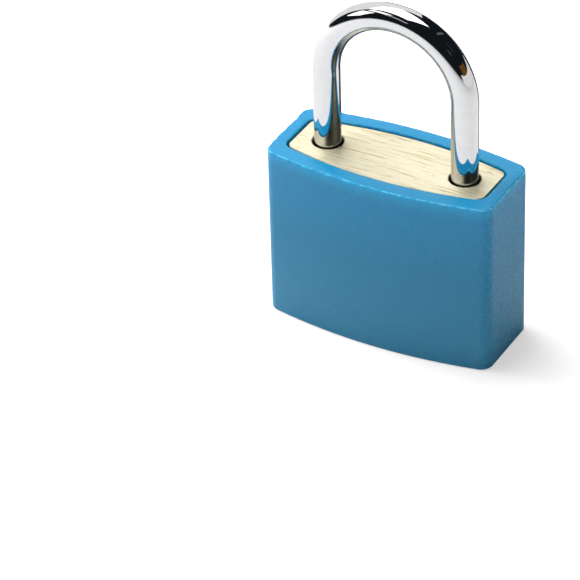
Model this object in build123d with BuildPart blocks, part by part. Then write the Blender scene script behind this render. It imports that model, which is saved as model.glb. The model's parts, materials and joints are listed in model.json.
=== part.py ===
"""Pin-tumbler padlock: moulded cover, brass lock body, steel shackle and the lock work inside.

Millimetres. The origin is the centre of the underside. +Z is up, +X runs along the width and
the broad front face looks towards -Y. The heel leg of the shackle, which never leaves the
body, is at -X. The toe leg, which the bolt holds, is at +X.

The lock is modelled closed with its bolt drawn back, as it is just before the shackle lifts.
The plug then points its pins at +Y. A quarter turn points them at the +X pin chambers and
throws the bolt into the toe leg.
"""

from build123d import *
from math import pi, sqrt
import os

# ---------------------------------------------------------------- driving sizes
# Cover and lock body
cover_width = 36.0
cover_height = 27.6
cover_end_depth = 12.7  # depth at the two narrow ends
face_bulge = 2.05  # how far each broad face rises between its ends
cover_corner_radius = 1.5
cover_end_wall = 2.2
cover_face_wall = 2.45
cover_gap = 0.1  # between the cover and the lock body
rim_height = 0.2  # cover's rim above the brass
lip_thickness = 1.5  # ledge under the lock body
lip_width = 1.4
lip_corner_radius = 1.0
body_corner_radius = 1.2
cover_top_edge = 0.3
cover_foot_edge = 0.7
body_edge = 0.12  # broken edges round the brass face and its two holes

# Shackle
wire_diameter = 4.0
leg_gap = 0.32  # radial play of a leg in its hole
leg_hole_wall = 2.38  # brass between a leg's hole and the end of the body
straight_leg = 12.3  # from the brass to the start of the bow
toe_depth = 8.0
toe_floor_gap = 0.5
toe_rise = 1.2  # how far the toe ends above the brass when open
heel_floor = 3.5  # brass under the heel leg's hole
heel_spring_length = 3.0
collar_height = 2.0
neck_diameter = 2.8
neck_end_gap = 0.2
shackle_pin_diameter = 2.0
heel_chamfer = 0.3
toe_chamfer = 0.6

# Locking bolt
bolt_diameter = 3.2
bolt_drop = 5.0  # bolt axis below the top of the brass
bolt_engagement = 1.2
bolt_tail = 5.0  # from the plug's axis to the tail, drawn back
bolt_spring_room = 1.2  # from the tail to the end of the bore, drawn back
bolt_pocket_depth = 2.2
bolt_pocket_diameter = 2.4
bolt_nose_ramp = 1.0
notch_play = 0.25

# Plug, cam and pins
plug_diameter = 7.5
plug_pin_diameter = 1.2
plug_pin_height = 1.4  # above the plug's face
retaining_pin_edge = 0.12
plug_groove_depth = 0.6
keyway_width = 1.8
keyway_spine = 3.0  # from the plug's axis to the keyway's back
keyway_blade = 2.2  # from the plug's axis to the keyway's pin side
ward_width = 0.45
ward_height = 1.0
cam_thickness = 1.4
cam_diameter = 6.4
cam_pin_diameter = 1.6
cam_pin_reach = 0.9  # cam pin's end above the bolt's axis
tenon_length = 4.0
tenon_width = 1.6
tenon_depth = 0.9
pin_count = 4
pin_diameter = 2.0
first_pin_height = 3.55  # above the plug's face
pin_pitch = 2.45
key_pin_lengths = [3.0, 3.6, 2.7, 3.3]
key_pin_end = 0.1  # how far a key pin's outer end stays inside the plug
key_pin_drop = 0.9
key_pin_point = 0.5  # bevel on the end that the key lifts
key_pin_edge = 0.25
driver_length = 3.2
driver_edge = 0.12
cap_thickness = 1.6
cap_setback = 0.1

# Fits
running_gap = 0.05  # radial, turning and sliding pieces
press_gap = 0.01  # radial, pieces driven home
end_gap = 0.02  # springs and seats, face to face
slot_gap = 0.1  # cam pin in the bolt
floor_gap = 0.3  # ends of moving pieces

# Springs: wire diameter, outside diameter, turns
heel_spring = (0.45, 3.9, 5)
bolt_spring = (0.25, 2.1, 7)
pin_spring = (0.2, 1.8, 9)

# ---------------------------------------------------------------- places that follow
body_bottom = lip_thickness
body_top = cover_height - rim_height
body_half_width = cover_width / 2 - cover_end_wall - cover_gap
body_half_end = cover_end_depth / 2 - cover_face_wall - cover_gap
body_half_depth = body_half_end + face_bulge

leg_radius = wire_diameter / 2
leg_hole_radius = leg_radius + leg_gap
leg_x = body_half_width - leg_hole_wall - leg_hole_radius
bow_z = body_top + straight_leg
toe_end = body_top - toe_depth
toe_floor = toe_end - toe_floor_gap
heel_hole_floor = body_bottom + heel_floor
heel_end = heel_hole_floor + heel_spring_length
lift = toe_depth + toe_rise
shackle_pin_radius = shackle_pin_diameter / 2
neck_start = heel_end + collar_height
shackle_pin_z = neck_start + neck_end_gap + lift + shackle_pin_radius
neck_end = shackle_pin_z + shackle_pin_radius + neck_end_gap
shackle_pin_x = -leg_x + neck_diameter / 2 + shackle_pin_radius + slot_gap

bolt_radius = bolt_diameter / 2
bolt_z = body_top - bolt_drop
toe_inner_x = leg_x - leg_radius
bolt_travel = bolt_engagement + leg_gap + slot_gap
bolt_tip_x = toe_inner_x + bolt_engagement - bolt_travel
bolt_bore_radius = bolt_radius + running_gap
bolt_bore_end = -bolt_tail - bolt_spring_room

plug_radius = plug_diameter / 2
plug_bore_radius = plug_radius + running_gap
plug_face = body_bottom
cam_pin_radius = cam_pin_diameter / 2
cam_top = bolt_z - bolt_radius - floor_gap
plug_top = cam_top - cam_thickness
cam_swing = bolt_travel / sqrt(2)  # cam pin's distance from the plug's axis
cam_pin_side = cam_swing / sqrt(2)
plug_pin_radius = plug_pin_diameter / 2
plug_groove_radius = plug_radius - plug_groove_depth
plug_pin_x = -(plug_groove_radius + running_gap + plug_pin_radius)
plug_pin_z = plug_face + plug_pin_height

pin_radius = pin_diameter / 2
chamber_radius = pin_radius + running_gap
pin_heights = [plug_face + first_pin_height + row * pin_pitch for row in range(pin_count)]
keyway_top = pin_heights[-1] + chamber_radius + floor_gap
pin_bore_end = plug_radius - key_pin_end - max(key_pin_lengths) - key_pin_drop - slot_gap
driver_end = plug_bore_radius + driver_length
cap_outer_x = body_half_width - cap_setback
cap_inner_x = cap_outer_x - cap_thickness


# ---------------------------------------------------------------- shared shapes
def lens(height, half_width, half_end, corner_radius):
    """Plan outline with straight narrow ends and bulging broad sides, drawn at a height."""
    with BuildSketch(Plane.XY.offset(height)) as outline:
        with BuildLine():
            ThreePointArc((-half_width, -half_end), (0, -half_end - face_bulge), (half_width, -half_end))
            Line((half_width, -half_end), (half_width, half_end))
            ThreePointArc((half_width, half_end), (0, half_end + face_bulge), (-half_width, half_end))
            Line((-half_width, half_end), (-half_width, -half_end))
        make_face()
        fillet(outline.vertices(), corner_radius)
    return outline.sketch


def disc(plane, radius):
    """Round section on a plane."""
    with BuildSketch(plane) as section:
        Circle(radius)
    return section.sketch


def bore(plane, radius, length):
    """Round hole from a plane along its normal, cut from the part being built."""
    extrude(disc(plane, radius), amount=length, mode=Mode.SUBTRACT)


def facing_x(x, y=0, z=0):
    """Plane looking along +X."""
    return Plane(origin=(x, y, z), x_dir=(0, 1, 0), z_dir=(1, 0, 0))


def facing_y(x, y=0, z=0):
    """Plane looking along +Y."""
    return Plane(origin=(x, y, z), x_dir=(-1, 0, 0), z_dir=(0, 1, 0))


def coil_spring(plane, length, size):
    """Compression spring standing on a plane and filling a length, less the end gaps."""
    wire, outside, turns = size
    height = length - wire - 2 * end_gap
    with BuildPart() as spring:
        with BuildLine() as path:
            Helix(height / turns, height, (outside - wire) / 2, center=(0, 0, wire / 2 + end_gap))
        with BuildSketch(Plane(origin=path.line @ 0, z_dir=path.line % 0)):
            Circle(wire / 2)
        sweep(is_frenet=True)
    return plane.location * spring.part


def save(part, name):
    """Label a finished piece and write it."""
    part.label = name
    export_step(part, f"parts/{name}.step")


os.makedirs("parts", exist_ok=True)

# ---------------------------------------------------------------- cover
cavity_half_width = body_half_width + cover_gap
cavity_half_end = body_half_end + cover_gap
cavity_corner = body_corner_radius + cover_gap

with BuildPart() as cover:
    extrude(lens(0, cover_width / 2, cover_end_depth / 2, cover_corner_radius), amount=cover_height)
    fillet(cover.faces().sort_by(Axis.Z)[-1].edges(), cover_top_edge)
    fillet(cover.faces().sort_by(Axis.Z)[0].edges(), cover_foot_edge)
    extrude(
        lens(lip_thickness, cavity_half_width, cavity_half_end, cavity_corner),
        amount=cover_height,
        mode=Mode.SUBTRACT,
    )
    extrude(
        lens(
            0,
            cavity_half_width - lip_width,
            cavity_half_end - lip_width,
            lip_corner_radius,
        ),
        amount=lip_thickness,
        mode=Mode.SUBTRACT,
    )
save(cover.part, "cover")

# ---------------------------------------------------------------- lock body
body_height = body_top - body_bottom
cam_pocket_radius = cam_swing + cam_pin_radius + 2 * slot_gap
cam_pin_top = bolt_z + cam_pin_reach

with BuildPart() as lock_body:
    extrude(lens(body_bottom, body_half_width, body_half_end, body_corner_radius), amount=body_height)
    # plug's bore, the cam's chamber above it and the cam pin's pocket
    bore(Plane.XY.offset(body_bottom), plug_bore_radius, cam_top + floor_gap / 2 - body_bottom)
    bore(Plane.XY.offset(cam_top), cam_pocket_radius, cam_pin_top + floor_gap - cam_top)
    # heel and toe holes
    bore(Plane((-leg_x, 0, heel_hole_floor)), leg_hole_radius, body_height)
    bore(Plane((leg_x, 0, toe_floor)), leg_hole_radius, body_height)
    chamfer(lock_body.faces().sort_by(Axis.Z)[-1].edges(), body_edge)
    # bolt's bore, drilled from the toe end
    bore(facing_x(bolt_bore_end, 0, bolt_z), bolt_bore_radius, 2 * body_half_width)
    # pin chambers, drilled from the toe end below the toe hole
    for pin_z in pin_heights:
        bore(facing_x(0, 0, pin_z), chamber_radius, body_half_width)
    # cross holes for the two retaining pins, drilled from the back
    bore(
        facing_y(shackle_pin_x, -body_half_end + floor_gap, shackle_pin_z),
        shackle_pin_radius + press_gap,
        2 * body_half_depth,
    )
    bore(
        facing_y(plug_pin_x, -body_half_end + floor_gap, plug_pin_z),
        plug_pin_radius + press_gap,
        2 * body_half_depth,
    )
save(lock_body.part, "lock_body")

# ---------------------------------------------------------------- shackle
with BuildPart() as shackle:
    with BuildLine() as wire_line:
        Line((-leg_x, 0, heel_end), (-leg_x, 0, bow_z))
        ThreePointArc((-leg_x, 0, bow_z), (0, 0, bow_z + leg_x), (leg_x, 0, bow_z))
        Line((leg_x, 0, bow_z), (leg_x, 0, toe_end))
    with BuildSketch(Plane((-leg_x, 0, heel_end))):
        Circle(leg_radius)
    sweep()
    chamfer(shackle.edges().sort_by(Axis.Z)[0], heel_chamfer)
    toe_edges = shackle.edges().filter_by(GeomType.CIRCLE).filter_by_position(Axis.Z, toe_end, toe_end)
    chamfer(toe_edges, toe_chamfer)
    # neck that the retaining pin runs in
    with BuildSketch(Plane((-leg_x, 0, neck_start))):
        Circle(leg_radius + leg_gap)
        Circle(neck_diameter / 2, mode=Mode.SUBTRACT)
    extrude(amount=neck_end - neck_start, mode=Mode.SUBTRACT)
    # notch for the bolt, on the toe leg's inner side
    notch_half = bolt_radius + notch_play
    notch_floor = toe_inner_x + bolt_engagement + slot_gap
    with BuildSketch(Plane((notch_floor, 0, bolt_z - notch_half))):
        Rectangle(wire_diameter, 2 * wire_diameter, align=(Align.MAX, Align.CENTER))
    extrude(amount=2 * notch_half, mode=Mode.SUBTRACT)
save(shackle.part, "shackle")

heel_spring_plane = Plane((-leg_x, 0, heel_hole_floor))
save(coil_spring(heel_spring_plane, heel_spring_length, heel_spring), "shackle_spring")


# ---------------------------------------------------------------- retaining pins
def cross_pin(x, z, radius):
    """Pin driven into the body from the back, from the blind end to just under the surface."""
    front = -body_half_end + floor_gap
    bulge = face_bulge * (1 - ((abs(x) + radius) / body_half_width) ** 2)
    length = body_half_end + bulge - cap_setback - front
    with BuildPart() as pin:
        extrude(disc(facing_y(x, front, z), radius), amount=length)
        chamfer(pin.edges().filter_by(GeomType.CIRCLE), retaining_pin_edge)
    return pin.part


save(cross_pin(shackle_pin_x, shackle_pin_z, shackle_pin_radius), "shackle_retaining_pin")
save(cross_pin(plug_pin_x, plug_pin_z, plug_pin_radius), "plug_retaining_pin")

# ---------------------------------------------------------------- locking bolt
slot_half = cam_pin_side + cam_pin_radius + slot_gap
slot_floor_y = cam_pin_side - cam_pin_radius - slot_gap

with BuildPart() as locking_bolt:
    extrude(disc(facing_x(-bolt_tail, 0, bolt_z), bolt_radius), amount=bolt_tail + bolt_tip_x)
    # ramp on the nose, so that the toe can push the bolt back
    with BuildSketch(Plane.XZ) as ramp:
        with BuildLine():
            nose_top = (bolt_tip_x, bolt_z + bolt_radius)
            Polyline(
                nose_top,
                (bolt_tip_x - bolt_nose_ramp, bolt_z + bolt_radius),
                (bolt_tip_x, bolt_z + bolt_radius - bolt_nose_ramp),
                close=True,
            )
        make_face()
    extrude(amount=bolt_diameter, both=True, mode=Mode.SUBTRACT)
    # side notch that the cam pin works in, with room for the bolt to spring back by itself
    with BuildSketch(Plane((0, slot_floor_y, bolt_z - bolt_radius))):
        Rectangle(2 * slot_half, bolt_diameter, align=(Align.CENTER, Align.MIN))
    extrude(amount=bolt_diameter, mode=Mode.SUBTRACT)
    # pocket for the spring
    bore(facing_x(-bolt_tail, 0, bolt_z), bolt_pocket_diameter / 2, bolt_pocket_depth)
save(locking_bolt.part, "locking_bolt")

bolt_spring_plane = facing_x(bolt_bore_end, 0, bolt_z)
save(coil_spring(bolt_spring_plane, bolt_spring_room + bolt_pocket_depth, bolt_spring), "bolt_spring")

with BuildPart() as bolt_bore_cap:
    cap_start = leg_x + leg_hole_radius
    extrude(
        disc(facing_x(cap_start, 0, bolt_z), bolt_bore_radius - press_gap),
        amount=cap_outer_x - cap_start,
    )
save(bolt_bore_cap.part, "bolt_bore_cap")

# ---------------------------------------------------------------- plug and cam
with BuildPart() as plug:
    extrude(disc(Plane.XY.offset(plug_face), plug_radius), amount=plug_top - plug_face)
    # groove round the plug for its retaining pin
    groove_half = plug_pin_radius + slot_gap
    with BuildSketch(Plane.XY.offset(plug_pin_z - groove_half)):
        Circle(plug_bore_radius)
        Circle(plug_groove_radius, mode=Mode.SUBTRACT)
    extrude(amount=2 * groove_half, mode=Mode.SUBTRACT)
    # keyway with one ward standing in from its side
    with BuildSketch(Plane.XY.offset(plug_face)):
        with Locations((0, -keyway_spine)):
            Rectangle(keyway_width, keyway_spine + keyway_blade, align=(Align.CENTER, Align.MIN))
        with Locations((keyway_width / 2, -keyway_spine / 2)):
            Rectangle(ward_width, ward_height, align=(Align.MAX, Align.CENTER), mode=Mode.SUBTRACT)
    extrude(amount=keyway_top - plug_face, mode=Mode.SUBTRACT)
    # key pin bores
    for pin_z in pin_heights:
        bore(facing_y(0, pin_bore_end, pin_z), chamber_radius, plug_diameter)
    # slot for the cam's tenon
    with BuildSketch(Plane.XY.offset(plug_top)):
        Rectangle(tenon_length + 2 * press_gap, tenon_width + 2 * press_gap)
    extrude(amount=-tenon_depth - end_gap, mode=Mode.SUBTRACT)
save(plug.part, "plug")

with BuildPart() as plug_cam:
    extrude(disc(Plane.XY.offset(plug_top), cam_diameter / 2), amount=cam_thickness)
    with BuildSketch(Plane.XY.offset(plug_top)):
        Rectangle(tenon_length, tenon_width)
    extrude(amount=-tenon_depth)
    cam_pin_plane = Plane((-cam_pin_side, cam_pin_side, cam_top))
    extrude(disc(cam_pin_plane, cam_pin_radius), amount=cam_pin_top - cam_top)
save(plug_cam.part, "plug_cam")

# ---------------------------------------------------------------- pin stacks
for row, (pin_z, length) in enumerate(zip(pin_heights, key_pin_lengths), start=1):
    with BuildPart() as key_pin:
        outer = plug_radius - key_pin_end
        extrude(disc(facing_y(0, outer - length, pin_z), pin_radius), amount=length)
        chamfer(key_pin.edges().group_by(Axis.Y)[0], key_pin_point)
        chamfer(key_pin.edges().group_by(Axis.Y)[-1], key_pin_edge)
    save(key_pin.part, f"key_pin_{row}")

    with BuildPart() as driver_pin:
        extrude(disc(facing_x(plug_bore_radius, 0, pin_z), pin_radius), amount=driver_length)
        chamfer(driver_pin.edges().filter_by(GeomType.CIRCLE), driver_edge)
    save(driver_pin.part, f"driver_pin_{row}")

    spring_plane = facing_x(driver_end, 0, pin_z)
    save(coil_spring(spring_plane, cap_inner_x - driver_end, pin_spring), f"pin_spring_{row}")

    with BuildPart() as chamber_cap:
        extrude(disc(facing_x(cap_inner_x, 0, pin_z), chamber_radius - press_gap), amount=cap_thickness)
    save(chamber_cap.part, f"chamber_cap_{row}")

# ---------------------------------------------------------------- motion, for the record
print(f"lift {lift:.3f}  bolt travel {bolt_travel:.4f}  bolt per radian {bolt_travel / (pi / 2):.5f}")
print(f"leg_x {leg_x:.3f}  bow_z {bow_z:.3f}  body_top {body_top:.3f}  total {bow_z + leg_x + leg_radius:.3f}")
print(f"bolt_z {bolt_z:.3f}  plug_top {plug_top:.3f}  pin heights {pin_heights}")
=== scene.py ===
"""Covered padlock: a frosted blue moulded cover round a brushed brass body, with a plated shackle."""

import json
import math

import bmesh
import bpy
from mathutils import Matrix, Vector, noise


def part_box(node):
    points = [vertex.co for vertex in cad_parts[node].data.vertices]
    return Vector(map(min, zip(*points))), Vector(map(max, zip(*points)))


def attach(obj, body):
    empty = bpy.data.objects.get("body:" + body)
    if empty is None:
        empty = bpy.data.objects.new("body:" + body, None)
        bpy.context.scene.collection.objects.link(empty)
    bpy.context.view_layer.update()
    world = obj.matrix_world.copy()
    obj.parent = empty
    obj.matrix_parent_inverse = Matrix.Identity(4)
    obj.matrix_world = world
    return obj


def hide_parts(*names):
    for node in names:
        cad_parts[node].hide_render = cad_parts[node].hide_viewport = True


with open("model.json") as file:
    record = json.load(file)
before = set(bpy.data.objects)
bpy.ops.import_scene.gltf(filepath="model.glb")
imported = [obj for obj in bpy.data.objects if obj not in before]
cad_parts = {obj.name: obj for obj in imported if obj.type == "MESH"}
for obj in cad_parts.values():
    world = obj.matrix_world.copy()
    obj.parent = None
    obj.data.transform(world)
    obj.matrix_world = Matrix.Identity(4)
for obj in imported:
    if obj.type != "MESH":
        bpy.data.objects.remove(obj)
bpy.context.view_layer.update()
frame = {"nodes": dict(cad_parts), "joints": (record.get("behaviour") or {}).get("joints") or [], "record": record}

MM = 0.001

# ---------------------------------------------------------------- camera
VIEW_AZIMUTH = 29.97
VIEW_ELEVATION = 34.76
VIEW_ROLL = -1.70
VIEW_DISTANCE = 550.5 * MM
LENS = 238.1
AIM_HEIGHT = 20.0 * MM
AIM_SIDE = -15.26 * MM
AIM_RISE = -12.56 * MM


def toward(azimuth, elevation):
    """Unit vector from the lock; azimuth 0 is straight out of the front face and 90 is +X."""
    turn, tilt = math.radians(azimuth), math.radians(elevation)
    return Vector((math.sin(turn) * math.cos(tilt), -math.cos(turn) * math.cos(tilt), math.sin(tilt)))


def add_camera():
    """Long lens, looking down on the lock's front right corner, with the lock high in the frame."""
    back = toward(VIEW_AZIMUTH, VIEW_ELEVATION)
    level = toward(VIEW_AZIMUTH + 90, 0)
    roll = Matrix.Rotation(math.radians(VIEW_ROLL), 3, back)
    side, rise = roll @ level, roll @ back.cross(level)
    aim = Vector((0, 0, AIM_HEIGHT)) + side * AIM_SIDE + rise * AIM_RISE
    camera = link(bpy.data.objects.new("camera", bpy.data.cameras.new("camera")))
    camera.data.lens = LENS
    camera.data.clip_start, camera.data.clip_end = 0.01, 20
    axes = Matrix((side, rise, back)).transposed().to_4x4()
    camera.matrix_world = Matrix.Translation(aim + back * VIEW_DISTANCE) @ axes
    bpy.context.scene.camera = camera


# ---------------------------------------------------------------- studio
STUDIO_CENTRE = Vector((0, 0, 45 * MM))
ROOM_LIGHT = 0.22
LAMP_DISTANCE = 0.8
BOARD_DISTANCE = 1.0
SWEEP_DISTANCE = 0.35
DARK_ROOM_RADIUS = 2.2
PAPER_REACH = 3.0
PAPER_GAP = 0.02 * MM  # between the two sheets of the floor
PAPER_WHITE = (0.84, 0.84, 0.845)
PAPER_GLOW = 0.44
# the card below stands in the gloss for the lock's shade on the table behind it: a painted reflection of shade
SHADOW_CARD_NEAR = 10 * MM
SHADOW_CARD_FAR = 900 * MM
SHADOW_CARD_WIDTH = 30 * MM  # across its near edge
SHADOW_CARD_SPREAD = 28  # its far edge is this many times as wide
SHADOW_CARD_HEIGHT = 0.1 * MM
WHITE = (1.0, 1.0, 1.0)
COOL_WHITE = (0.8, 0.9, 1.0)


def link(obj):
    """Put a new object in the scene."""
    bpy.context.scene.collection.objects.link(obj)
    return obj


def place(obj, azimuth, elevation, distance):
    """Stand an object off along a direction, with its +Z side facing the lock and its top up."""
    way = toward(azimuth, elevation)
    obj.location = STUDIO_CENTRE + way * distance
    obj.rotation_mode = "QUATERNION"
    obj.rotation_quaternion = way.to_track_quat("Z", "Y")


def add_lamp(name, azimuth, elevation, size, power):
    """Soft lamp that lights the lock; the boards below stand for it in the polished metal."""
    data = bpy.data.lights.new(name, "AREA")
    data.shape = "RECTANGLE"
    data.size, data.size_y = size
    data.energy = power
    lamp = link(bpy.data.objects.new(name, data))
    place(lamp, azimuth, elevation, LAMP_DISTANCE)
    lamp.visible_glossy = False


def stage_mesh(name, bm, material):
    """Turn a finished bmesh into an object of the studio, which is no part of the lock."""
    mesh = bpy.data.meshes.new(name)
    bm.to_mesh(mesh)
    bm.free()
    mesh.materials.append(material)
    obj = link(bpy.data.objects.new(name, mesh))
    return obj


def show_only_in_gloss(obj):
    """Let only mirrored rays meet a piece of the studio."""
    obj.visible_camera = False
    obj.visible_diffuse = False
    obj.visible_shadow = False
    obj.visible_transmission = False


def glow_finish(name, glow, strength, shade=(0.0, 0.0, 0.0)):
    """Dull surface of one shade that also gives off light."""
    material = bpy.data.materials.new(name)
    material.use_nodes = True
    shader = material.node_tree.nodes["Principled BSDF"]
    shader.inputs["Base Color"].default_value = (*shade, 1)
    shader.inputs["Roughness"].default_value = 1.0
    shader.inputs["Specular IOR Level"].default_value = 0.0
    shader.inputs["Emission Color"].default_value = (*glow, 1)
    shader.inputs["Emission Strength"].default_value = strength
    return material


def add_board(name, azimuth, elevation, spread, glow, strength, tilt=0.0, distance=BOARD_DISTANCE):
    """Glowing board seen only in gloss; spread is its width and height in degrees."""
    bm = bmesh.new()
    bmesh.ops.create_grid(bm, x_segments=1, y_segments=1, size=distance)
    half_width, half_height = (math.tan(math.radians(angle / 2)) for angle in spread)
    bmesh.ops.scale(bm, vec=(half_width, half_height, 1), verts=bm.verts)
    bmesh.ops.rotate(bm, matrix=Matrix.Rotation(math.radians(tilt), 3, "Z"), verts=bm.verts)
    board = stage_mesh(name, bm, glow_finish(name, glow, strength))
    place(board, azimuth, elevation, distance)
    show_only_in_gloss(board)


def add_dark_room():
    """Dark surroundings that the polished metal mirrors between the bright boards."""
    bm = bmesh.new()
    bmesh.ops.create_uvsphere(bm, u_segments=32, v_segments=16, radius=DARK_ROOM_RADIUS)
    show_only_in_gloss(stage_mesh("dark_room", bm, glow_finish("dark_room", (0.6, 0.8, 1.0), 0.012)))


def add_shadow_card():
    """Dark card lying behind the lock where the table is in its shade, widening away from it and seen only in
    gloss: the inner side of the left leg mirrors it as a painted reflection of that shade.
    """
    bm = bmesh.new()
    bmesh.ops.create_grid(bm, x_segments=1, y_segments=1, size=0.5)
    bmesh.ops.scale(bm, vec=(SHADOW_CARD_WIDTH, SHADOW_CARD_FAR - SHADOW_CARD_NEAR, 1), verts=bm.verts)
    far_edge = [point for point in bm.verts if point.co.y > 0]
    bmesh.ops.scale(bm, vec=(SHADOW_CARD_SPREAD, 1, 1), verts=far_edge)
    middle = (-LEG_X, (SHADOW_CARD_FAR + SHADOW_CARD_NEAR) / 2, SHADOW_CARD_HEIGHT)
    bmesh.ops.translate(bm, vec=middle, verts=bm.verts)
    show_only_in_gloss(stage_mesh("shadow_card", bm, glow_finish("shadow_card", (1.0, 0.74, 0.76), 0.09)))


def add_sheet(name, height, glow):
    """One sheet of white paper; glow stands for the light coming through it from a table below."""
    bm = bmesh.new()
    level = Matrix.Translation((0, 0, height))
    bmesh.ops.create_grid(bm, x_segments=1, y_segments=1, size=PAPER_REACH, matrix=level)
    return stage_mesh(name, bm, glow_finish(name, WHITE, glow, PAPER_WHITE))


def add_floor():
    """White table: the sheet that throws light back at the lock, and the bright one that is seen."""
    bounce = add_sheet("bounce_paper", 0, 0.0)
    bounce.visible_camera = False
    bounce.visible_shadow = False
    seen = add_sheet("seen_paper", -PAPER_GAP, PAPER_GLOW)
    seen.visible_diffuse = False
    seen.visible_glossy = False
    seen.visible_shadow = False


def add_studio():
    """Bright table in a dark room: lamps above and at the left, and what the plating mirrors."""
    world = bpy.data.worlds.new("studio")
    world.use_nodes = True
    background = world.node_tree.nodes["Background"]
    background.inputs["Color"].default_value = (*WHITE, 1)
    background.inputs["Strength"].default_value = ROOM_LIGHT
    bpy.context.scene.world = world
    add_lamp("overhead_lamp", -100, 68, (0.6, 0.6), 7.6)
    add_lamp("left_lamp", -92, 18, (0.5, 0.4), 3.6)
    add_dark_room()
    add_board("overhead_panel", -99, 76, (50, 52), WHITE, 2.5, tilt=-25)
    add_board("left_panel", -132, 27, (76, 56), WHITE, 0.95)
    add_board("window_panel", -62, 26, (24, 19), WHITE, 2.0)
    add_board("window_head", -52, 44, (30, 8), WHITE, 1.6)
    add_board("lilac_strip", -22, 36, (22, 7), (0.9, 0.85, 1.0), 0.45, tilt=-20)
    add_board("white_sweep", 105, 0, (100, 14), WHITE, 0.85, distance=SWEEP_DISTANCE)
    add_board("warm_shelf", 92, 13, (44, 11), (1.0, 0.45, 0.1), 0.14)
    add_board("far_glint", 135, 48, (50, 3), WHITE, 0.12, tilt=-40)
    add_board("near_glint", 97, 40, (4, 14), COOL_WHITE, 0.06, tilt=15)
    add_board("low_glint", 60, 32, (9, 6), COOL_WHITE, 0.08, tilt=25)
    add_shadow_card()
    add_floor()


# ---------------------------------------------------------------- mesh helpers
SHARP_ANGLE = math.radians(38)
WELD_DISTANCE = 0.0005 * MM


def ring_of(geometry):
    """The edges of a new ring: those with both ends among the new points."""
    points = {part for part in geometry if isinstance(part, bmesh.types.BMVert)}
    edges = [part for part in geometry if isinstance(part, bmesh.types.BMEdge)]
    return [edge for edge in edges if points.issuperset(edge.verts)]


def points_of(ring):
    """The points at the ends of some edges, each once."""
    return list({point for edge in ring for point in edge.verts})


def draw_out(bm, ring, rise=0.0, scale=1.0, centre=(0, 0, 0)):
    """Extrude a level ring of edges up or down, growing or shrinking it about a centre."""
    grown = ring_of(bmesh.ops.extrude_edge_only(bm, edges=ring)["geom"])
    points = points_of(grown)
    bmesh.ops.translate(bm, vec=(0, 0, rise), verts=points)
    about = Matrix.Translation(-Vector(centre))
    bmesh.ops.scale(bm, vec=(scale, scale, 1), space=about, verts=points)
    return grown


def finish_piece(name, bm, body, node, material):
    """Close up a mesh, turn its faces outwards and let the piece ride in place of its CAD node."""
    bmesh.ops.remove_doubles(bm, verts=bm.verts, dist=WELD_DISTANCE)
    bmesh.ops.recalc_face_normals(bm, faces=bm.faces)
    for face in bm.faces:
        face.smooth = True
    mesh = bpy.data.meshes.new(name)
    bm.to_mesh(mesh)
    bm.free()
    mesh.set_sharp_from_angle(angle=SHARP_ANGLE)
    mesh.materials.append(material)
    piece = link(bpy.data.objects.new(name, mesh))
    even = piece.modifiers.new("even_shading", "WEIGHTED_NORMAL")
    even.keep_sharp = True
    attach(piece, body)
    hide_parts(node)
    return piece


# ---------------------------------------------------------------- cover
COVER_LOW, COVER_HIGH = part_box("cover")
FACE_BULGE = 2.05 * MM
END_WALL = 2.2 * MM
FACE_WALL = 2.45 * MM
LIP_THICKNESS = 1.5 * MM
LIP_WIDTH = 1.4 * MM
COVER_CORNER = 1.5 * MM
CAVITY_CORNER = 1.3 * MM
LIP_CORNER = 1.0 * MM
CORNER_STEPS = 8
TOP_EDGE = 0.3 * MM
FOOT_EDGE = 0.28 * MM
MOUTH_EDGE = 0.12 * MM
MOUTH_DRAFT = 0.24 * MM  # the cavity opens this much towards its mouth
LIP_EDGE = 0.2 * MM
EDGE_STEPS = 4
WORN_DEPTH = 1.1 * MM
WAVE_DEPTH = 0.22 * MM
WAVE_PITCH = 800  # noise cells in a metre
NICK_DEPTH = 0.24 * MM
NICK_PITCH = 1600
NICK_FLOOR = 0.2  # noise below this makes no nick
LEAST_WEAR = 0.25  # share of the waves that the right half of the edge has
LEFT_WEAR = 1.5  # what the far left adds to that share
# depth below the cover's top edge of its painted glow and painted highlight
EDGE_GLOW_DEPTH = 2.4 * MM
GRAIN_STEP = 0.22 * MM  # spacing of the points along the broad sides


def lens_ring(bm, height, inset_x, inset_y, corner):
    """Loop of edges inside the cover's outline: straight ends, bulging sides, round corners."""
    half_width = COVER_HIGH.x - inset_x
    half_end = COVER_HIGH.y - FACE_BULGE - inset_y
    known = set(bm.edges)
    outline = Matrix.Translation((0, 0, height)) @ Matrix.Diagonal((half_width, half_end, 1, 1))
    corners = bmesh.ops.create_grid(bm, x_segments=1, y_segments=1, size=1, matrix=outline)["verts"]
    bmesh.ops.bevel(
        bm, geom=corners, offset=corner, affect="VERTICES", segments=CORNER_STEPS, profile=0.5, material=-1
    )
    loose = [face for face in bm.faces if all(edge not in known for edge in face.edges)]
    bmesh.ops.delete(bm, geom=loose, context="FACES_ONLY")
    ring = [edge for edge in bm.edges if edge not in known]
    sides = [edge for edge in ring if abs(edge.verts[0].co.x - edge.verts[1].co.x) > half_width]
    ends = [edge for edge in ring if abs(edge.verts[0].co.y - edge.verts[1].co.y) > half_end]
    bmesh.ops.subdivide_edges(bm, edges=sides, cuts=round(COVER_HIGH.x * 2 / GRAIN_STEP))
    bmesh.ops.subdivide_edges(bm, edges=ends, cuts=round(COVER_HIGH.y / GRAIN_STEP))
    ring = [edge for edge in bm.edges if edge not in known]
    for point in points_of(ring):
        rise = FACE_BULGE * (1 - (point.co.x / half_width) ** 2)
        point.co.y += math.copysign(rise, point.co.y)
    return ring


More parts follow.
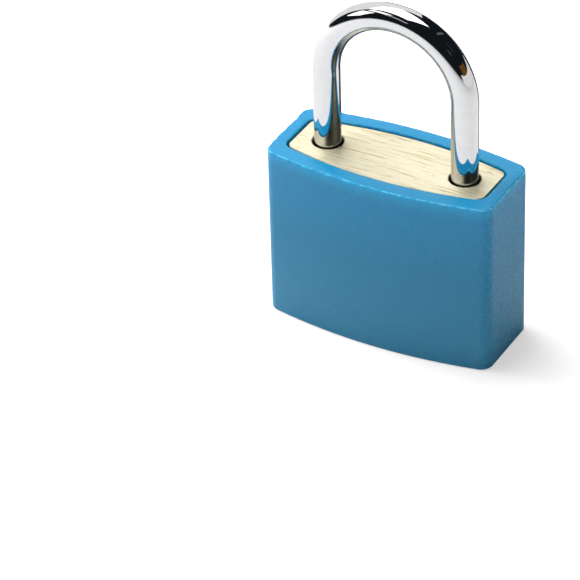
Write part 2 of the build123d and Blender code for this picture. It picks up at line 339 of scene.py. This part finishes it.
def wear_rim(bm):
    """Slight waves and small nicks along the cover's outer top edge, fading out just below it."""
    bm.normal_update()
    for point in bm.verts:
        weight = (point.co.z - COVER_HIGH.z + WORN_DEPTH) / WORN_DEPTH
        if weight <= 0 or point.normal.dot(Vector((point.co.x, point.co.y * 2, 0))) <= 0:
            continue
        at_left = max(0.0, -point.co.x / COVER_HIGH.x)
        wave = max(0.0, 0.5 + 1.4 * noise.noise(point.co * WAVE_PITCH))
        nick = max(0.0, noise.noise(point.co * NICK_PITCH + Vector((7, 3, 1))) - NICK_FLOOR)
        depth = WAVE_DEPTH * wave * (LEAST_WEAR + LEFT_WEAR * at_left) + NICK_DEPTH * nick
        point.co.xy -= point.normal.xy * depth * min(1.0, weight)


def rounded(height, inset_x, inset_y, corner, edge, arriving, leaving):
    """Rings that carry the cover's section round one corner as a quarter circle.

    The two directions are steps (inwards, upwards), along the section into the corner and out of it.
    """
    if not edge:
        return [(height, inset_x, inset_y, corner)]
    rings = []
    for step in range(EDGE_STEPS + 1):
        turn = math.pi / 2 * step / EDGE_STEPS
        before, after = edge * (math.sin(turn) - 1), edge * (1 - math.cos(turn))
        inwards = arriving[0] * before + leaving[0] * after
        upwards = arriving[1] * before + leaving[1] * after
        rings.append((height + upwards, inset_x + inwards, inset_y + inwards, corner - inwards))
    return rings


def make_cover():
    """Sleeve round the lock body, open at the top, with a lip turned in below the body."""
    bm = bmesh.new()
    mouth = (END_WALL - MOUTH_DRAFT, FACE_WALL - MOUTH_DRAFT)
    lip = (END_WALL + LIP_WIDTH, FACE_WALL + LIP_WIDTH)
    inwards, outwards, upwards, downwards = (1, 0), (-1, 0), (0, 1), (0, -1)
    corners = [
        (COVER_LOW.z, 0, 0, COVER_CORNER, FOOT_EDGE, outwards, upwards),
        (COVER_HIGH.z, 0, 0, COVER_CORNER, TOP_EDGE, upwards, inwards),
        (COVER_HIGH.z, *mouth, CAVITY_CORNER, MOUTH_EDGE, inwards, downwards),
        (LIP_THICKNESS, END_WALL, FACE_WALL, CAVITY_CORNER, 0, downwards, inwards),
        (LIP_THICKNESS, *lip, LIP_CORNER, LIP_EDGE, inwards, downwards),
        (COVER_LOW.z, *lip, LIP_CORNER, LIP_EDGE, downwards, outwards),
    ]
    section = [ring for corner in corners for ring in rounded(*corner)]
    rings = []
    for number, (_, *outline) in enumerate(section):
        # each ring starts at a height of its own, because rings in one plane can be bridged crosswise
        rings.append(lens_ring(bm, number * COVER_HIGH.z, *outline))
    for ring, following in zip(rings, rings[1:] + rings[:1]):
        bmesh.ops.bridge_loops(bm, edges=ring + following)
    for ring, (height, *_) in zip(rings, section):
        for point in points_of(ring):
            point.co.z = height
    worn_from = (0, 0, COVER_HIGH.z - WORN_DEPTH)
    everything = list(bm.verts) + list(bm.edges) + list(bm.faces)
    bmesh.ops.bisect_plane(bm, geom=everything, plane_co=worn_from, plane_no=(0, 0, 1))
    wear_rim(bm)
    finish_piece("cover_shell", bm, "case", "cover", frosted_blue())


# ---------------------------------------------------------------- shackle
SHACKLE_LOW, SHACKLE_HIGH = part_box("shackle")
SHACKLE_PIN_LOW, SHACKLE_PIN_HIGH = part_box("shackle_retaining_pin")
BOLT_LOW, BOLT_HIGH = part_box("locking_bolt")
BODY_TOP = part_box("lock_body")[1].z
BAR_RADIUS = SHACKLE_HIGH.y
LEG_X = SHACKLE_HIGH.x - BAR_RADIUS
BOW_Z = SHACKLE_HIGH.z - LEG_X - BAR_RADIUS
LIFT = next(joint for joint in frame["joints"] if joint["name"] == "shackle_lift")["range_m"][1]
TOE_DEPTH = 8.0 * MM
NECK_RADIUS = 1.4 * MM
NECK_END_GAP = 0.2 * MM
HEEL_CHAMFER = 0.3 * MM
TOE_CHAMFER = 0.6 * MM
NOTCH_PLAY = 0.25 * MM
NOTCH_DEPTH = 1.3 * MM
BAR_SEGMENTS = 72
BOW_STEPS = 110


def make_shackle():
    """Round bar from the heel, with its neck, over the bow and down to the notched toe."""
    bm = bmesh.new()
    heel = Vector((-LEG_X, 0, 0))
    toe = Vector((LEG_X, 0, 0))
    start = Matrix.Translation((-LEG_X, 0, SHACKLE_LOW.z))
    circle = bmesh.ops.create_circle(
        bm, segments=BAR_SEGMENTS, radius=BAR_RADIUS - HEEL_CHAMFER, cap_ends=False, matrix=start
    )
    ring = ring_of(circle["verts"] + list(bm.edges))
    bmesh.ops.edgeloop_fill(bm, edges=ring)
    neck_start = SHACKLE_PIN_LOW.z - LIFT - NECK_END_GAP
    neck_end = SHACKLE_PIN_HIGH.z + NECK_END_GAP
    neck_scale = NECK_RADIUS / BAR_RADIUS
    ring = draw_out(bm, ring, HEEL_CHAMFER, BAR_RADIUS / (BAR_RADIUS - HEEL_CHAMFER), heel)
    ring = draw_out(bm, ring, neck_start - SHACKLE_LOW.z - HEEL_CHAMFER)
    ring = draw_out(bm, ring, 0, neck_scale, heel)
    ring = draw_out(bm, ring, neck_end - neck_start)
    ring = draw_out(bm, ring, 0, 1 / neck_scale, heel)
    ring = draw_out(bm, ring, BOW_Z - neck_end)
    bow = bmesh.ops.spin(
        bm,
        geom=points_of(ring) + ring,
        cent=(0, 0, BOW_Z),
        axis=(0, 1, 0),
        angle=math.pi,
        steps=BOW_STEPS,
        use_merge=False,
        use_duplicate=False,
    )
    ring = ring_of(bow["geom_last"])
    notch_top = BOLT_HIGH.z + NOTCH_PLAY
    notch_foot = BOLT_LOW.z - NOTCH_PLAY
    toe_end = BODY_TOP - TOE_DEPTH
    ring = draw_out(bm, ring, notch_top - BOW_Z)
    ring = cut_flat(bm, ring)
    ring = draw_out(bm, ring, notch_foot - notch_top)
    ring = cut_round(bm, ring, notch_foot)
    ring = draw_out(bm, ring, toe_end + TOE_CHAMFER - notch_foot)
    ring = draw_out(bm, ring, -TOE_CHAMFER, 1 - TOE_CHAMFER / BAR_RADIUS, toe)
    bmesh.ops.edgeloop_fill(bm, edges=ring)
    finish_piece("shackle_bar", bm, "shackle", "shackle", bright_plating())


def cut_flat(bm, ring):
    """Step the toe's section in to the notch's flat floor."""
    ring = draw_out(bm, ring)
    floor_x = LEG_X - BAR_RADIUS + NOTCH_DEPTH
    for point in points_of(ring):
        point.co.x = max(point.co.x, floor_x)
    return ring


def cut_round(bm, ring, height):
    """Step the section out again to the full round bar below the notch."""
    ring = draw_out(bm, ring)
    for point in points_of(ring):
        across = math.sqrt(max(0.0, BAR_RADIUS**2 - point.co.y**2))
        if point.co.x < LEG_X:
            point.co.x = LEG_X - across
    return ring


# ---------------------------------------------------------------- materials
class Recipe:
    """A material's node tree, with short calls for the nodes that these finishes use."""

    def __init__(self, name):
        self.material = bpy.data.materials.new(name)
        self.material.use_nodes = True
        self.tree = self.material.node_tree
        self.shader = self.tree.nodes["Principled BSDF"]
        self.place = self.tree.nodes.new("ShaderNodeTexCoord").outputs["Object"]

    def link(self, source, target):
        self.tree.links.new(source, target)

    def feed(self, name, source):
        """Drive one socket of the main shader."""
        self.link(source, self.shader.inputs[name])

    def set(self, **values):
        """Constant sockets of the main shader, with underscores for spaces."""
        for name, value in values.items():
            self.shader.inputs[name.replace("_", " ")].default_value = value

    def noise(self, scale, stretch=(1, 1, 1), detail=3.0, roughness=0.5, shift=(0, 0, 0)):
        """Noise with a grain of about 1/scale metres, drawn out along the axes by stretch."""
        mapping = self.tree.nodes.new("ShaderNodeMapping")
        mapping.inputs["Scale"].default_value = stretch
        mapping.inputs["Location"].default_value = shift
        self.link(self.place, mapping.inputs["Vector"])
        node = self.tree.nodes.new("ShaderNodeTexNoise")
        node.inputs["Scale"].default_value = scale
        node.inputs["Detail"].default_value = detail
        node.inputs["Roughness"].default_value = roughness
        self.link(mapping.outputs[0], node.inputs["Vector"])
        return node.outputs["Fac"]

    def rings(self, scale, along="Z", wander=1.0):
        """Turning marks: fine rings round an axis through the origin."""
        node = self.tree.nodes.new("ShaderNodeTexWave")
        node.wave_type = "RINGS"
        node.rings_direction = along
        node.inputs["Scale"].default_value = scale
        node.inputs["Distortion"].default_value = wander
        node.inputs["Detail"].default_value = 3
        self.link(self.place, node.inputs["Vector"])
        return node.outputs["Fac"]

    def span(self, axis, low, high):
        """0 nearer the origin than one distance along an axis, 1 beyond another, on both sides."""
        split = self.tree.nodes.new("ShaderNodeSeparateXYZ")
        self.link(self.place, split.inputs[0])
        either = self.tree.nodes.new("ShaderNodeMath")
        either.operation = "ABSOLUTE"
        self.link(split.outputs[axis], either.inputs[0])
        span = self.tree.nodes.new("ShaderNodeMapRange")
        span.inputs["From Min"].default_value = low
        span.inputs["From Max"].default_value = high
        self.link(either.outputs[0], span.inputs["Value"])
        return span.outputs["Result"]

    def ramp(self, source, stops):
        """Colour ramp; each stop is a position and a colour or a grey."""
        node = self.tree.nodes.new("ShaderNodeValToRGB")
        while len(node.color_ramp.elements) < len(stops):
            node.color_ramp.elements.new(0.5)
        for element, (position, colour) in zip(node.color_ramp.elements, stops):
            element.position = position
            shade = colour if isinstance(colour, tuple) else (colour,) * 3
            element.color = (*shade, 1)
        self.link(source, node.inputs["Fac"])
        return node.outputs["Color"]

    def mix(self, factor, first, second, blend="MIX"):
        """Colour between two sockets, by a factor that is a socket or a number."""
        node = self.tree.nodes.new("ShaderNodeMix")
        node.data_type = "RGBA"
        node.blend_type = blend
        if isinstance(factor, float):
            node.inputs["Factor"].default_value = factor
        else:
            self.link(factor, node.inputs["Factor"])
        self.link(first, node.inputs["A"])
        self.link(second, node.inputs["B"])
        return node.outputs["Result"]

    def blend(self, source, factor, colour):
        """Turn a colour towards a fixed one by a factor."""
        node = self.mix(factor, source, source).node
        self.tree.links.remove(node.inputs["B"].links[0])
        node.inputs["B"].default_value = (*colour, 1)
        return node.outputs["Result"]

    def brushed_across(self, axis):
        """Gloss drawn out across the brush lines, along one axis of the lock."""
        way = self.tree.nodes.new("ShaderNodeCombineXYZ")
        way.inputs[axis].default_value = 1.0
        self.link(way.outputs[0], self.shader.inputs["Tangent"])
        self.set(Anisotropic=1.0)

    def bump(self, height, strength, depth):
        """Relief on the main shader, added over any already there."""
        node = self.tree.nodes.new("ShaderNodeBump")
        if isinstance(strength, float):
            node.inputs["Strength"].default_value = strength
        else:
            self.link(strength, node.inputs["Strength"])
        node.inputs["Distance"].default_value = depth
        self.link(height, node.inputs["Height"])
        socket = self.shader.inputs["Normal"]
        if socket.is_linked:
            self.link(socket.links[0].from_socket, node.inputs["Normal"])
        self.link(node.outputs["Normal"], socket)


def frosted_blue():
    """Satin moulded plastic with an eroded grain, its colour painted darker towards the foot, with a painted glow
    below the lit top edge, a painted highlight along it and painted lighter ends.
    """
    look = Recipe("frosted_blue")
    cloud = look.noise(140, detail=3)
    speckle = look.noise(2300, detail=3, roughness=0.6)
    # noise that breaks up the painted highlight along the top edge into bright dots
    highlight_breakup = look.noise(1300, detail=3, roughness=0.6, shift=(0.2, 0.1, 0))
    rise = look.span("Z", COVER_LOW.z, COVER_HIGH.z)
    rim_depth = look.span("Z", COVER_HIGH.z - EDGE_GLOW_DEPTH, COVER_HIGH.z)
    # painted shade and light: the colour is darker towards the foot and lighter, stronger blue towards the top,
    # where the light falls
    foot, waist, top = (0.020, 0.255, 0.445), (0.004, 0.242, 0.45), (0.003, 0.28, 0.55)
    painted_height_shade = look.ramp(rise, [(0.1, foot), (0.55, waist), (0.9, top)])
    # painted glow: the colour turns lighter cyan in a band just below the top edge, standing for light shining
    # through the plastic from the lit rim
    clear = look.ramp(rim_depth, [(0, 0), (0.37, 0.22), (0.69, 0.6), (0.87, 1), (0.96, 1), (0.985, 0.1)])
    # painted highlight: a thin pale band right along the top edge, broken up by noise, where the rounded edge
    # catches the overhead lamp
    pale = look.ramp(rim_depth, [(0.88, 0), (0.91, 1), (0.96, 1), (0.975, 0)])
    painted_edge_highlight = look.mix(1.0, pale, look.ramp(highlight_breakup, [(0.42, 0.15), (0.58, 1.0)]), "MULTIPLY")
    body = look.blend(look.blend(painted_height_shade, clear, (0.01, 0.44, 0.75)), painted_edge_highlight, (0.16, 0.68, 0.95))
    end_depth = look.span("X", COVER_HIGH.x - COVER_CORNER, COVER_HIGH.x)
    at_end = look.ramp(end_depth, [(0.0, 0.12), (0.8, 1.0)])
    pits = look.noise(3400, detail=3, roughness=0.7)
    faint = look.ramp(speckle, [(0.32, 0.92), (0.5, 1.0), (0.7, 1.08)])
    # on the ends the colour is pitted grain and also painted a little lighter on average: real grain and painted
    # light together
    pits_and_painted_end_light = look.ramp(pits, [(0.36, 0.84), (0.5, 1.08), (0.64, 1.5)])
    look.feed("Base Color", look.mix(1.0, body, look.mix(at_end, faint, pits_and_painted_end_light), "MULTIPLY"))
    look.feed("Roughness", look.ramp(speckle, [(0.3, 0.34), (0.7, 0.5)]))
    look.bump(pits, at_end, 0.0003)
    look.bump(cloud, 0.2, 0.0003)
    look.set(
        Subsurface_Weight=0.5,
        Subsurface_Radius=(0.1, 0.55, 1.0),
        Subsurface_Scale=0.0016,
        Specular_IOR_Level=0.5,
    )
    return look.material


def brushed_brass():
    """Pale brass, linished along the width, with darker dragged specks."""
    look = Recipe("brushed_brass")
    look.set(Metallic=1.0)
    streak = look.noise(2600, stretch=(0.06, 1, 1), detail=5, roughness=0.7)
    scratch = look.noise(1500, stretch=(0.12, 1, 1), detail=4, roughness=0.75, shift=(0.3, 0.1, 0.2))
    patch = look.noise(240, stretch=(0.4, 1, 1), detail=3)
    drag, plain, shine = (0.62, 0.50, 0.26), (0.90, 0.83, 0.60), (0.96, 0.92, 0.72)
    pale = look.ramp(streak, [(0.34, drag), (0.46, plain), (0.7, shine)])
    specks = look.ramp(scratch, [(0.31, (0.30, 0.24, 0.12)), (0.38, (1, 1, 1))])
    look.feed("Base Color", look.mix(1.0, pale, specks, "MULTIPLY"))
    look.feed("Roughness", look.ramp(patch, [(0.3, 0.36), (0.7, 0.44)]))
    look.bump(streak, 0.5, 0.00003)
    look.brushed_across("Y")
    return look.material


def turned_brass():
    """Yellower brass of the plug, its face turned in fine rings."""
    look = Recipe("turned_brass")
    look.set(Metallic=1.0)
    rings = look.rings(900)
    fleck = look.noise(1800, detail=4, roughness=0.6)
    look.feed("Base Color", look.ramp(fleck, [(0.3, (0.66, 0.48, 0.20)), (0.7, (0.82, 0.65, 0.33))]))
    look.feed("Roughness", look.ramp(fleck, [(0.3, 0.24), (0.7, 0.38)]))
    look.bump(rings, 0.25, 0.00002)
    return look.material


def bar_brass():
    """Brass rod parted off for the pins and caps, with drawing lines and dulled ends."""
    look = Recipe("bar_brass")
    look.set(Metallic=1.0)
    line = look.noise(2400, stretch=(0.15, 1, 1), detail=4, roughness=0.6)
    look.feed("Base Color", look.ramp(line, [(0.3, (0.60, 0.42, 0.16)), (0.7, (0.80, 0.61, 0.29))]))
    look.feed("Roughness", look.ramp(line, [(0.3, 0.2), (0.7, 0.36)]))
    look.bump(line, 0.2, 0.00002)
    return look.material


def bright_plating():
    """Mirror-like plating on steel bar, with the faintest ripple and haze."""
    look = Recipe("bright_plating")
    look.set(Metallic=1.0)
    ripple = look.noise(190, detail=1.5)
    haze = look.noise(900, detail=4, roughness=0.6)
    look.feed("Base Color", look.ramp(haze, [(0.2, (0.70, 0.70, 0.71)), (0.6, (0.76, 0.76, 0.765))]))
    look.feed("Roughness", look.ramp(haze, [(0.3, 0.025), (0.75, 0.07)]))
    look.bump(ripple, 0.12, 0.00015)
    return look.material


def ground_steel():
    """Grey steel of the cam and the two retaining pins, ground along one way."""
    look = Recipe("ground_steel")
    look.set(Metallic=1.0)
    streak = look.noise(1500, stretch=(1, 0.2, 1), detail=4)
    look.feed("Base Color", look.ramp(streak, [(0.3, 0.42), (0.7, 0.6)]))
    look.feed("Roughness", look.ramp(streak, [(0.3, 0.22), (0.7, 0.36)]))
    look.bump(streak, 0.15, 0.00002)
    return look.material


def drawn_wire():
    """Slightly darker spring wire."""
    look = Recipe("drawn_wire")
    look.set(Metallic=1.0)
    fleck = look.noise(2500, detail=3)
    look.feed("Base Color", look.ramp(fleck, [(0.3, 0.36), (0.7, 0.52)]))
    look.feed("Roughness", look.ramp(fleck, [(0.3, 0.2), (0.7, 0.34)]))
    return look.material


FINISHES = {
    "blue_plastic": frosted_blue,
    "brass_body": brushed_brass,
    "plug_brass": turned_brass,
    "brass_pins": bar_brass,
    "chromed_shackle": bright_plating,
    "pin_steel": ground_steel,
    "spring_steel": drawn_wire,
}


def finish_cad_nodes():
    """Give every CAD piece its finish by the slot that the record names for it."""
    made = {}
    for row in frame["record"]["subparts"]:
        slot = row["material_slot"]
        if slot not in made:
            made[slot] = FINISHES[slot]()
        mesh = frame["nodes"][row["node"]].data
        mesh.materials.clear()
        mesh.materials.append(made[slot])


bpy.context.scene.view_settings.view_transform = "Standard"
add_camera()
add_studio()
finish_cad_nodes()
make_cover()
make_shackle()
